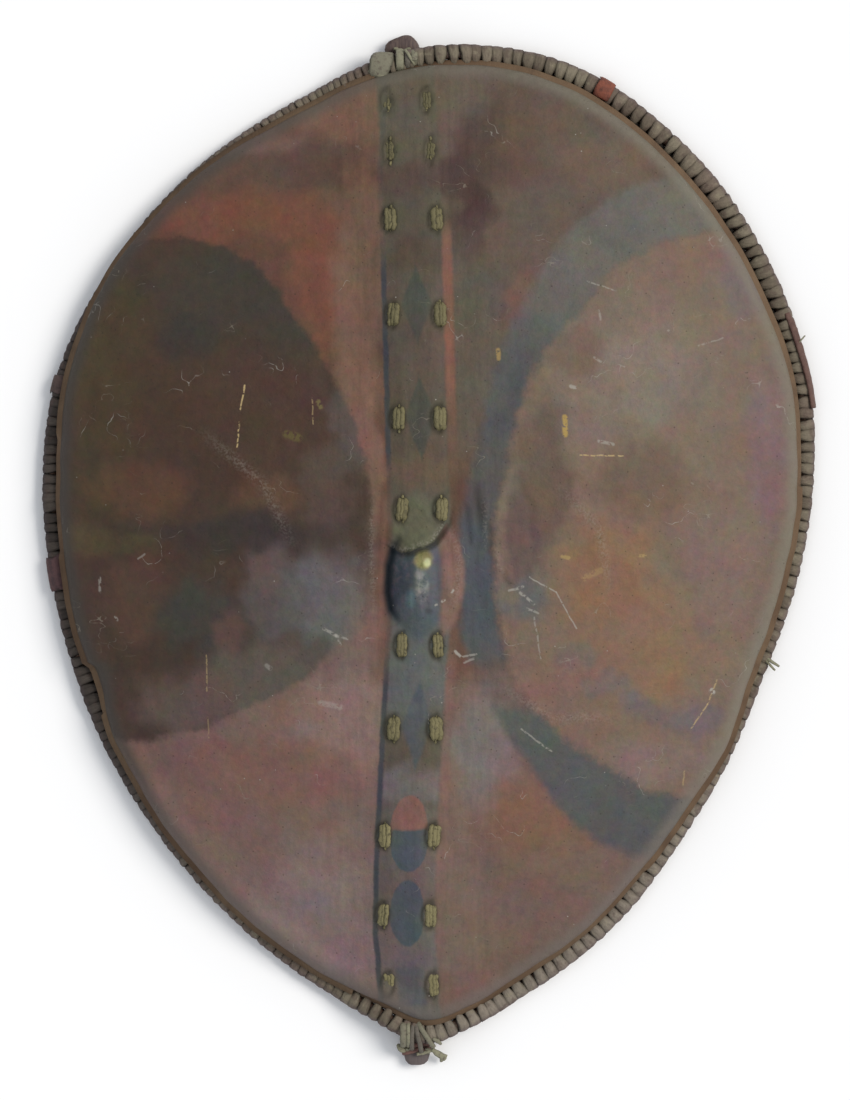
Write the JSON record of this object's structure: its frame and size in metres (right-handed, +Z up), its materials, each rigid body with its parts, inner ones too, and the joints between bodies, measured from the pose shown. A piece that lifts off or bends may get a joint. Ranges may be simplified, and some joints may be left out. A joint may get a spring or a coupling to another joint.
{
  "type": "hide shield",
  "caption": "Egg-shaped domed rawhide shield with a thong-lashed rim, a hand boss, and a bowed wooden stave tied behind the painted face.",
  "frame": {"origin": "on the floor under the middle of the shield's length and width, the shield lying on its back", "axes": "+Z up, out of the painted face; +Y towards the broad top; +X to the right of who looks down on the face"},
  "size_m": [0.7019, 0.93, 0.1188],
  "materials": {
    "painted_hide": "thick rawhide painted in earth red, grey-blue and brown, worn satin with fine scratches",
    "wood": "dark handled wood, smoothed, with long grain",
    "thong": "dry hide thong, grey-olive, dusty and creased",
    "stitch_thong": "olive-yellow hide thong, twisted and worn",
    "scrap_hide": "folded scraps of red-brown hide, dry and cracked"
  },
  "bodies": {
    "root": {"hide_face": "painted_hide", "rim_hoop": "wood", "rim_binding": "thong", "rim_lap_end": "wood", "rim_patch_red": "scrap_hide", "rim_patch_brown": "scrap_hide", "rim_patch_maroon": "scrap_hide", "stave": "wood", "stave_lashing_01": "stitch_thong", "stave_lashing_02": "stitch_thong", "stave_lashing_03": "stitch_thong", "stave_lashing_04": "stitch_thong", "stave_lashing_05": "stitch_thong", "stave_lashing_06": "stitch_thong", "stave_lashing_07": "stitch_thong", "stave_lashing_08": "stitch_thong", "stave_lashing_09": "stitch_thong", "stave_lashing_10": "stitch_thong", "stave_lashing_11": "stitch_thong", "top_end_tie": "thong", "bottom_end_tie": "thong"}
  },
  "joints": []
}
